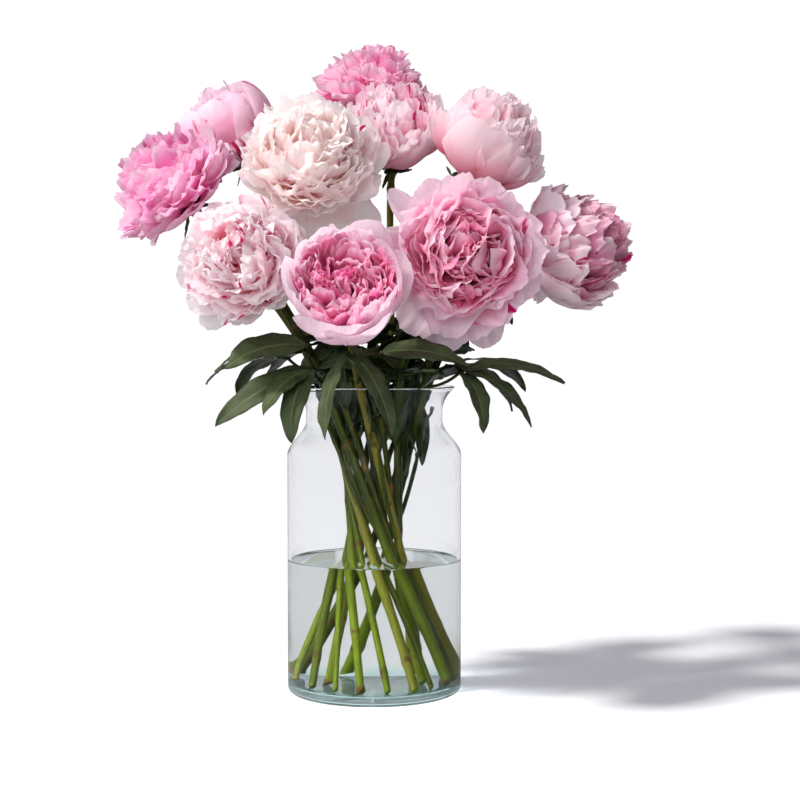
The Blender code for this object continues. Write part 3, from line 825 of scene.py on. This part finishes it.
# Painted shade: the deep claws and middles of front, lower_right, right and upper_right are partly those
# petals' own colour and partly shade painted into their recesses and shaded sides.
dress = {  # bloom: colours at claw, middle and tip, share of flamed petals, reach of guards, slot
    "top": ((0.90, 0.06, 0.34), (0.94, 0.33, 0.61), (0.98, 0.76, 0.87), 0.12, 1.0, "rose_petals"),
    "upper_left": ((0.98, 0.28, 0.52), (0.98, 0.56, 0.75), (0.99, 0.84, 0.92), 0.45, 1.0, "soft_petals"),
    "left": ((0.91, 0.10, 0.44), (0.95, 0.37, 0.69), (0.98, 0.78, 0.89), 0.16, 0.94, "rose_petals"),
    "centre": ((0.99, 0.66, 0.62), (0.99, 0.88, 0.86), (0.99, 0.955, 0.95), 0.14, 1.0, "blush_petals"),
    "upper_centre": ((0.94, 0.22, 0.42), (0.97, 0.58, 0.72), (0.98, 0.91, 0.94), 0.50, 1.0, "soft_petals"),
    "upper_right": ((0.92, 0.28, 0.42), (0.97, 0.66, 0.75), (0.98, 0.91, 0.93), 0.06, 0.95, "pale_petals"),
    "lower_left": ((0.99, 0.42, 0.53), (0.99, 0.79, 0.84), (0.99, 0.95, 0.965), 0.40, 1.0, "pale_petals"),
    "front": ((0.60, 0.006, 0.15), (0.89, 0.23, 0.50), (0.985, 0.86, 0.93), 0.14, 1.0, "rose_petals"),
    "lower_right": ((0.62, 0.03, 0.16), (0.90, 0.33, 0.54), (0.98, 0.80, 0.89), 0.08, 1.0, "soft_petals"),
    "right": ((0.38, 0.02, 0.12), (0.82, 0.35, 0.52), (0.99, 0.90, 0.94), 0.85, 0.80, "mauve_petals"),
}
# Each form: how far its lower guards hang. Its guard whorls: how many, root out and up,
# first and last slope, length, half width, cup, frill, notch, curl. Its inner mass,
# outermost petal first and middle one last: how many, the tips' reach outwards and their
# height, bend, half width, frill, pleat and wring, notch, and how many curls the middle
# has. Angles are in degrees, a cup's in radians, and sizes in radii of the bloom.
forms = {
    "tuft": (10, [
        (6, 0.17, 0.10, -14, 34, 0.90, 0.40, 0.65, 0.14, 0.24, 0.3),
        (6, 0.19, 0.15, -6, 46, 0.90, 0.38, 0.65, 0.16, 0.26, 0.3),
    ], (180, 1.18, (-0.06, 1.18), (50, 26), (0.26, 0.20), 0.20, (0.12, 24), 0.46, 1)),
    "crown": (10, [
        (6, 0.16, 0.08, 8, 84, 1.30, 0.52, 0.80, 0.10, 0.20, 0.3),
        (5, 0.18, 0.14, 12, 92, 1.26, 0.48, 0.80, 0.12, 0.22, 0.3),
    ], (104, 1.10, (1.02, 1.68), (92, 46), (0.40, 0.28), 0.26, (0.14, 28), 0.34, 2)),
    "dome": (14, [
        (6, 0.17, 0.10, -14, 72, 0.98, 0.46, 0.80, 0.14, 0.14, 0.3),
        (6, 0.19, 0.15, -6, 80, 0.94, 0.42, 0.80, 0.16, 0.18, 0.3),
    ], (150, 1.08, (0.24, 1.30), (86, 34), (0.36, 0.25), 0.26, (0.13, 28), 0.42, 2)),
    "globe": (12, [
        (6, 0.17, 0.12, 0, 124, 1.66, 0.64, 0.95, 0.08, 0.12, 0.1),
        (5, 0.19, 0.16, 8, 122, 1.54, 0.60, 0.95, 0.10, 0.18, 0.1),
    ], (92, 0.95, (0.96, 1.88), (95, 56), (0.42, 0.30), 0.24, (0.12, 28), 0.30, 2)),
    "bud": (8, [
        (6, 0.17, 0.12, 0, 148, 1.92, 0.72, 0.95, 0.07, 0.08, 0.1),
        (6, 0.19, 0.16, 6, 144, 1.80, 0.68, 0.95, 0.08, 0.10, 0.1),
    ], (60, 0.78, (0.96, 1.62), (95, 56), (0.42, 0.32), 0.20, (0.12, 28), 0.18, 2)),
    "rosette": (26, [
        (7, 0.17, 0.10, -8, 74, 1.08, 0.50, 0.75, 0.18, 0.22, 0.4),
        (6, 0.19, 0.16, 0, 88, 1.08, 0.48, 0.80, 0.20, 0.24, 0.3),
    ], (104, 1.00, (0.50, 1.24), (98, 54), (0.46, 0.30), 0.28, (0.14, 30), 0.30, 2)),
    "cup": (22, [
        (6, 0.17, 0.12, -2, 116, 1.56, 0.64, 0.92, 0.07, 0.08, 0.2),
        (6, 0.19, 0.16, 6, 118, 1.44, 0.58, 0.92, 0.09, 0.12, 0.2),
    ], (140, 0.84, (1.12, 0.98), (104, 44), (0.26, 0.17), 0.12, (0.12, 34), 0.34, 2)),
    "loose": (24, [
        (7, 0.17, 0.10, -14, 54, 1.06, 0.50, 0.55, 0.22, 0.20, 0.6),
        (7, 0.20, 0.16, -2, 66, 1.04, 0.48, 0.60, 0.26, 0.22, 0.5),
    ], (66, 0.88, (0.62, 0.96), (88, 46), (0.62, 0.38), 0.26, (0.20, 28), 0.24, 2)),
}
# Guards that stray: turn, first and last slope, length, half width, frill, curl, flame.
strays = {
    "front": [(96, -10, 96, 1.40, 0.62, 0.10, 0.4, 0), (200, -6, 98, 1.44, 0.56, 0.10, 0.4, 0)],
    "lower_right": [(318, -8, 26, 1.22, 0.26, 0.20, 0.7, 0), (78, -34, 8, 1.22, 0.46, 0.24, 0.5, 0),
                    (112, -30, 2, 1.16, 0.40, 0.24, 0.8, 0), (352, -10, 40, 1.15, 0.40, 0.3, 0.5, 0)],
    "centre": [(118, -44, -12, 1.08, 0.42, 0.16, 0.3, 0), (146, -36, 6, 1.10, 0.40, 0.16, 0.4, 1),
               (82, -40, 10, 0.95, 0.36, 0.16, 0.4, 0)],
    "left": [(112, 20, -50, 0.78, 0.19, 0.16, -0.6, 1), (84, -8, 40, 1.06, 0.48, 0.10, 0.2, 0),
             (276, 4, 84, 1.20, 0.50, 0.10, 0.2, 0), (124, -30, 40, 0.84, 0.36, 0.14, 0.3, 0),
             (150, -40, 36, 0.82, 0.36, 0.14, 0.3, 0), (178, -40, 30, 0.82, 0.36, 0.14, 0.3, 0),
             (206, -34, 30, 0.84, 0.34, 0.14, 0.3, 1), (232, -20, 60, 0.96, 0.34, 0.14, 0.2, 0)],
    "top": [(204, -40, -16, 1.02, 0.26, 0.14, 0.3, 0), (228, -46, -22, 1.08, 0.24, 0.14, 0.3, 0),
            (252, -44, -12, 1.06, 0.26, 0.14, 0.3, 0), (276, -40, -10, 1.00, 0.26, 0.14, 0.3, 0),
            (300, -30, 4, 0.96, 0.26, 0.14, 0.3, 0), (30, -10, 20, 0.96, 0.26, 0.14, 0.3, 0)],
    "upper_left": [(126, 4, 122, 1.60, 0.60, 0.10, 0.1, 1.2), (204, 2, 124, 1.64, 0.62, 0.10, 0.1, 1.3),
                   (248, 4, 122, 1.56, 0.58, 0.10, 0.1, 0), (144, -16, 84, 1.04, 0.20, 0.34, 0.5, 2),
                   (160, -14, 80, 1.04, 0.22, 0.34, 0.5, 1.7), (176, -18, 84, 1.02, 0.20, 0.34, 0.5, 2)],
    "upper_centre": [(84, 6, 86, 1.06, 0.44, 0.14, 0.3, 1), (116, 2, 80, 1.02, 0.40, 0.16, 0.3, 1),
                     (52, 4, 84, 1.04, 0.42, 0.14, 0.3, 1)],
    "lower_left": [(60, -20, 44, 1.12, 0.40, 0.16, 0.4, 0), (20, -6, 70, 1.15, 0.44, 0.16, 0.4, 0)],
    "right": [(96, -6, 92, 1.20, 0.46, 0.20, 0.3, 1), (268, -4, 76, 1.15, 0.34, 0.26, 0.5, 1),
              (350, -24, 30, 0.98, 0.40, 0.24, 0.5, 1), (32, -20, 44, 1.00, 0.38, 0.24, 0.5, 1),
              (306, -18, 40, 1.04, 0.36, 0.26, 0.5, 0), (238, -8, 60, 1.10, 0.30, 0.26, 0.6, 1)],
    "upper_right": [(120, -6, 92, 1.2, 0.46, 0.12, 0.2, 0)],
}
# What is added to a petal's place along itself before it takes its colour: less is deeper, partly the
# petals' own colour and partly painted shade in the recesses of the darker blooms.
inner_tint_and_shade = {
    "front": -0.19, "top": -0.15, "left": -0.13, "lower_right": -0.15, "right": -0.24,
    "upper_centre": -0.12, "upper_right": -0.08,
}
guard_tint = {"front": 0.52, "lower_right": 0.40, "right": 0.36}
guard_grid, wide_grid, narrow_grid = (22, 26), (17, 18), (15, 14)
golden = math.pi * (3 - math.sqrt(5))
root_near, root_spread = 0.05, 0.22  # inner petals' roots: how far out from the axis, in radii
root_low, root_climb = 0.24, 0.30  # and how far up
curl_share, curl_ring = 0.72, 0.25  # the middle petals' share, and their centres' ring


def petal(pose, start, first, last, length, wide, cup, frill, notch, curl, pleat, wring, **rest):
    """The numbers that one petal carries; angles in degrees, sizes in metres."""
    return {
        "pose": Vector(pose.to_euler()), "start": start, "first": math.radians(first),
        "last": math.radians(last), "length": length, "wide": wide, "cup": cup,
        "frill": frill, "notch": notch, "curl": curl, "pleat": pleat,
        "wring": math.radians(wring), **rest,
    }


def standing_on(axis):
    """A frame with its Z along the axis and its X level."""
    aside = axis.cross(Vector((0.0, 0.0, 1.0))).normalized()
    return Matrix((aside, axis.cross(aside), axis)).transposed()


def flat_way(angle):
    return Vector((math.cos(angle), math.sin(angle)))


def curl_centres(draw, curls):
    """The places, in radii, that a bloom's middle petals curl round."""
    if curls < 2:
        return [Vector((0.0, 0.0))]
    start = draw.uniform(0, 6.3)
    ways = [start + 2 * math.pi * k / curls for k in range(curls)]
    return [flat_way(way) * curl_ring * draw.uniform(0.8, 1.2) for way in ways]


for name, (_, _, radius, form) in blooms.items():
    draw = random.Random(name)
    claw_colour_and_shade, middle_colour, tip_colour, flamed, reach, slot = dress[name]
    hang, whorls, (count, tip_out, tip_up, bends, widths, frill, (pleat, wring), notch, curls) = forms[form]
    seat, axis = bloom_seat(name)
    upright = standing_on(axis)
    thin = 0.70 if slot in ("blush_petals", "pale_petals") else 0.54
    skin = petal_skin("petals " + name, claw_colour_and_shade, middle_colour, tip_colour, magenta, thin)
    guards, inner = [], []
    deep_and_shaded, pale = inner_tint_and_shade.get(name, 0.0), guard_tint.get(name, 0.0)
    for order, (number, out, up, first, last, length, wide, cup, edge, cut, curl) in enumerate(whorls):
        for k in range(number):
            turn = 2 * math.pi * (k + 0.5 * order) / number + draw.uniform(-0.12, 0.12)
            pose = upright @ Matrix.Rotation(turn, 3, "Z")
            sag = hang * max(-pose.col[0].z, 0.0)
            swing = (last - first) * reach
            guards.append(petal(
                pose, seat + pose @ Vector((out, 0.0, up)) * radius,
                first + draw.uniform(-5, 5) - sag * 0.4, first + swing + draw.uniform(-9, 9) - sag,
                length * reach * radius * draw.uniform(0.92, 1.06), wide * radius * draw.uniform(0.92, 1.08),
                cup, edge * radius, cut, curl * radius * draw.uniform(0.0, 1.3), 0.10 * radius,
                draw.uniform(-8, 8), lean=0.18, seed=draw.uniform(0, 50), tint=draw.uniform(0.0, 0.3) + pale,
                struck=float(draw.random() < flamed),
            ))
    for turn, first, last, length, wide, edge, curl, flame in strays.get(name, ()):
        pose = upright @ Matrix.Rotation(math.radians(turn), 3, "Z")
        guards.append(petal(
            pose, seat + pose @ Vector((0.16, 0.0, 0.08)) * radius, first, last, length * radius,
            wide * radius, 0.7, edge * radius, 0.12, curl * radius, 0.10 * radius,
            draw.uniform(-6, 6), lean=0.1, seed=draw.uniform(0, 50), tint=0.15 + pale, struck=float(flame),
        ))
    centres = curl_centres(draw, curls)
    for k in range(count):
        share = math.sqrt(1 - (k + 0.5) / count)  # 1 at the outside, 0 in the middle
        tip = flat_way(k * golden + draw.uniform(-0.25, 0.25))
        tip = tip * tip_out * share * draw.uniform(0.90, 1.06)
        height = tip_up[1] + (tip_up[0] - tip_up[1]) * share**2.6 + draw.uniform(-0.07, 0.07)
        height *= 0.4 + 0.6 * reach
        middle = Vector((0.0, 0.0))
        if share < curl_share:
            middle = min(centres, key=lambda c: (tip - c).length)
        way = tip - middle
        turn = math.atan2(way.y, way.x)
        root = middle * 0.5 + flat_way(turn) * (root_near + root_spread * share)
        root_up = root_low + root_climb * (1 - share)
        across, rise = (tip - root).dot(flat_way(turn)), height - root_up
        chord, heading = math.hypot(across, rise), math.degrees(math.atan2(rise, across))
        bend = bends[1] + (bends[0] - bends[1]) * share**1.5 + draw.uniform(-24, 24)
        if abs(bend) < 4:
            bend = 4.0
        half_bend = math.radians(bend / 2)
        # The tint below deepens some blooms' inner petals: partly their own deeper colour, partly painted
        # shade in the recess.
        inner.append(petal(
            upright @ Matrix.Rotation(turn, 3, "Z"),
            seat + upright @ Vector((root.x, root.y, root_up)) * radius,
            heading - bend / 2, heading + bend / 2, chord * half_bend / math.sin(half_bend) * radius,
            (widths[1] + (widths[0] - widths[1]) * share) * radius * draw.uniform(0.75, 1.25),
            draw.uniform(0.5, 1.1), frill * radius * draw.uniform(0.6, 1.3), notch,
            radius * draw.uniform(-0.6, 1.0), pleat * 2 * radius * draw.uniform(0.5, 1.3),
            draw.uniform(-wring, wring), lean=0.12 + draw.uniform(-0.25, 0.25), seed=draw.uniform(0, 50),
            tint=draw.uniform(-0.25, 0.10) + 0.20 * share + deep_and_shaded, struck=float(draw.random() < flamed * 0.6),
        ))
    fine_grid = narrow_grid if widths[0] < 0.40 else wide_grid
    for label, rows, (along, across), ripples, claw in (
        ("guards_", guards, guard_grid, 1.8, 0.22), ("petals_", inner, fine_grid, 2.6, 0.30)
    ):
        piece = grown(
            roots_mesh(label + name, rows), petal_tree, steps_along=along, steps_across=across,
            claw=claw, ripples=ripples, skin=skin,
        )
        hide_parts("bloom_" + name)
        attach(piece, "root")

# ------------------------------------------------------------------ the hearts
# In the middle of each bloom: a rounded receptacle, mottled olive and cream, set
# with thin yellow stamens whose orange anthers show where the petals part.
heart_top, heart_radius = 0.40, 0.22  # in radii of the bloom
stamens = {"rosette": 44, "loose": 50}  # the other forms hide them

heart_tree, given = new_tree("set stamens", "Heart", (
    ("Receptacle", "Geometry", None), ("Stamens", "Int", 60), ("Length", "Float", 0.014),
    ("Thickness", "Float", 0.00028), ("Seed", "Int", 3), ("Axis", "Vector", None),
    ("Skin", "Material", None),
))
t = heart_tree
face_way = t.nodes.new("GeometryNodeInputNormal").outputs[0]
upward = vector_calc("DOT_PRODUCT", face_way, given["Axis"], "Value")
spread = node(t, "GeometryNodeDistributePointsOnFaces", {
    "Mesh": given["Receptacle"], "Density": 90000.0,
    "Selection": calc("GREATER_THAN", upward, 0.45), "Seed": given["Seed"],
})
extra = calc("GREATER_THAN", t.nodes.new("GeometryNodeInputIndex").outputs[0], given["Stamens"])
few = node(t, "GeometryNodeDeleteGeometry", {"Geometry": spread.outputs["Points"], "Selection": extra})
line = node(t, "GeometryNodeCurvePrimitiveLine", {"End": packed(0.0, 0.0, given["Length"])})
line = node(t, "GeometryNodeResampleCurve", {"Curve": line.outputs[0], "Count": 5})
ring = node(t, "GeometryNodeCurvePrimitiveCircle", {"Resolution": 5, "Radius": given["Thickness"]})
anther = t.nodes.new("GeometryNodeSplineParameter").outputs["Factor"] ** 14.0
filament = node(t, "GeometryNodeCurveToMesh", {
    "Fill Caps": True, "Curve": line.outputs[0], "Profile Curve": ring.outputs["Curve"],
    "Scale": 1.0 + anther * 2.2,
})
height = parted(t.nodes.new("GeometryNodeInputPosition").outputs[0])["Z"]
stamen = stored(filament.outputs[0], "run", height / given["Length"])
chance = node(t, "FunctionNodeRandomValue", {2: 0.7, 3: 1.15, "Seed": given["Seed"]})
stand = node(t, "GeometryNodeInstanceOnPoints", {
    "Points": few.outputs[0], "Instance": stamen, "Rotation": spread.outputs["Rotation"],
    "Scale": chance.outputs[1],
})
both = node(t, "GeometryNodeJoinGeometry", {0: given["Receptacle"]})
joined(stand.outputs[0], both.inputs[0])
tree_end(both.outputs[0], given["Skin"])

heart_skin, t, skin = new_skin("stamens", 0.6)
run, place = carried(t, "run"), object_place(t)
body = blend(rough(place, 500.0, 2.0), (0.62, 0.60, 0.22), (0.90, 0.74, 0.52))
colour = blend(ramped(run, 0.0, 0.3), body, (0.92, 0.66, 0.20))
joined(blend(ramped(run, 0.72, 0.8), colour, (0.86, 0.34, 0.05)), skin.inputs["Base Color"])
bumped(rough(place, 1500.0, 2.0), 0.0003, 0.5, skin)

for order, (name, (_, _, radius, form)) in enumerate(blooms.items()):
    seat, axis = bloom_seat(name)
    profile = [(0.0, heart_top)]
    profile += round_corner((0.0, heart_top - heart_radius), heart_radius, 70, 10, 3)
    profile += [(heart_radius, 0.12), (0.14, 0.02), (0.0, 0.0)]
    heart = turn_profile("heart_" + name, [(r * radius, z * radius) for r, z in profile], 16)
    pose = axis.to_track_quat("Z", "Y").to_matrix().to_4x4()
    heart.data.transform(Matrix.Translation(seat + axis * 0.0004) @ pose)
    heart = grown(
        heart, heart_tree, stamens=stamens.get(form, -1), length=radius * 0.22,
        thickness=0.00035, seed=order, axis=axis, skin=heart_skin,
    )
    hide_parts("bloom_" + name)
    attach(heart, "root")

# ------------------------------------------------------------------ the sepals
# Five rounded green sepals clasp each bloom from below, and two narrow bracts stand off
# under them. They are thicker and stiffer than the leaves.
sepal_thickness = 0.0006
sepal_count, bract_count = 5, 2

for name, (_, _, radius, _) in blooms.items():
    draw = random.Random("sepals " + name)
    seat, axis = bloom_seat(name)
    rows = []
    for k in range(sepal_count + bract_count):
        narrow = k >= sepal_count
        share = 0.15 + 0.45 * (k - sepal_count) if narrow else k / sepal_count  # of a turn
        turn = 2 * math.pi * share + draw.uniform(-0.2, 0.2)
        pose = standing_on(axis) @ Matrix.Rotation(turn, 3, "Z")
        row = leaflet(
            seat + pose @ Vector((0.09, 0.0, 0.0)) * radius, 0.0,
            -34 if narrow else -24, draw.uniform(-50, 10) if narrow else draw.uniform(30, 52),
            radius * (0.50 if narrow else 0.38), radius * (0.09 if narrow else 0.34), 0,
        )
        row["pose"], row["sway"] = Vector(pose.to_euler()), 0.0
        rows.append(row)
    sepals = grown(
        roots_mesh("sepals_" + name, rows), leaf_tree, steps_along=14, steps_across=7,
        stalk_width=0.004, fold=0.35, waviness=0.0015, skin=leaf_back,
    )
    sepals.data.materials.append(leaf_back)
    thickened(sepals, sepal_thickness)
    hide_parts("bloom_" + name)
    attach(sepals, "root")

# ------------------------------------------------------------------ floor, light and camera
# A white studio floor that meets a white surround: one firm key from the upper left, a
# soft pale sky that is brightest low down all round, and a gentle fill from the front.
floor_half = 14.0
mesh = bpy.data.meshes.new("studio_floor")
corners = [(x, y, 0.0) for y in (-floor_half, floor_half) for x in (-floor_half, floor_half)]
mesh.from_pydata(corners, [], [(0, 1, 3, 2)])
floor = placed("studio_floor", mesh)
paper, t, skin = new_skin("white paper", 0.9, 0.1)
ray = t.nodes.new("ShaderNodeLightPath").outputs
tooth = blend(rough(object_place(t), 300.0, 2.0), (0.90, 0.90, 0.91), (0.93, 0.93, 0.94))
tooth = blend(ray["Is Diffuse Ray"], tooth, (0.52, 0.51, 0.51))
joined(blend(ray["Is Reflection Ray"], tooth, (0.36, 0.36, 0.37)), skin.inputs["Base Color"])
mesh.materials.append(paper)

world = bpy.data.worlds.new("pale surround")
world.use_nodes = True
t = world.node_tree
high = ramped(parted(t.nodes.new("ShaderNodeTexCoord").outputs["Generated"])["Z"], 0.24, 0.50)
ray = t.nodes.new("ShaderNodeLightPath").outputs
seen = blend(high, (1.06, 1.06, 1.06), (0.28, 0.30, 0.36))
soft = blend(high, (0.50, 0.49, 0.50), (0.26, 0.26, 0.30))
dim = blend(high, (0.42, 0.42, 0.44), (0.28, 0.28, 0.31))
shown = blend(ray["Is Diffuse Ray"], blend(ray["Is Reflection Ray"], seen, dim), soft)
joined(shown, t.nodes["Background"].inputs["Color"])
bpy.context.scene.world = world


def aimed(name, light, way):
    """A lamp that shines that way."""
    lamp = placed(name, light)
    lamp.rotation_euler = Vector(way).to_track_quat("-Z", "Y").to_euler()
    return lamp


fill = bpy.data.lights.new("fill", "AREA")
fill.energy, fill.size, fill.color = 47.0, 1.8, (0.97, 0.98, 1.0)
aimed("fill", fill, (1.0, 2.5, -0.55)).location = (-1.0, -2.5, 1.0)
key = bpy.data.lights.new("key", "SUN")
key.energy, key.angle, key.color = 3.45, math.radians(7), (1.0, 0.985, 0.96)
aimed("key", key, (0.60, 0.24, -0.76))

lens = bpy.data.cameras.new("camera")
lens.lens, lens.sensor_width = 80.1, 36.0
camera = placed("camera", lens)
camera.location = (0.0252, -1.739, 0.360)
camera.rotation_euler = (math.radians(90 - 2.43), 0.0, 0.0)
bpy.context.scene.camera = camera
bpy.context.scene.view_settings.view_transform = "Standard"
bpy.context.scene.cycles.max_bounces = 24
bpy.context.scene.cycles.diffuse_bounces = 16
bpy.context.scene.cycles.transmission_bounces = 20
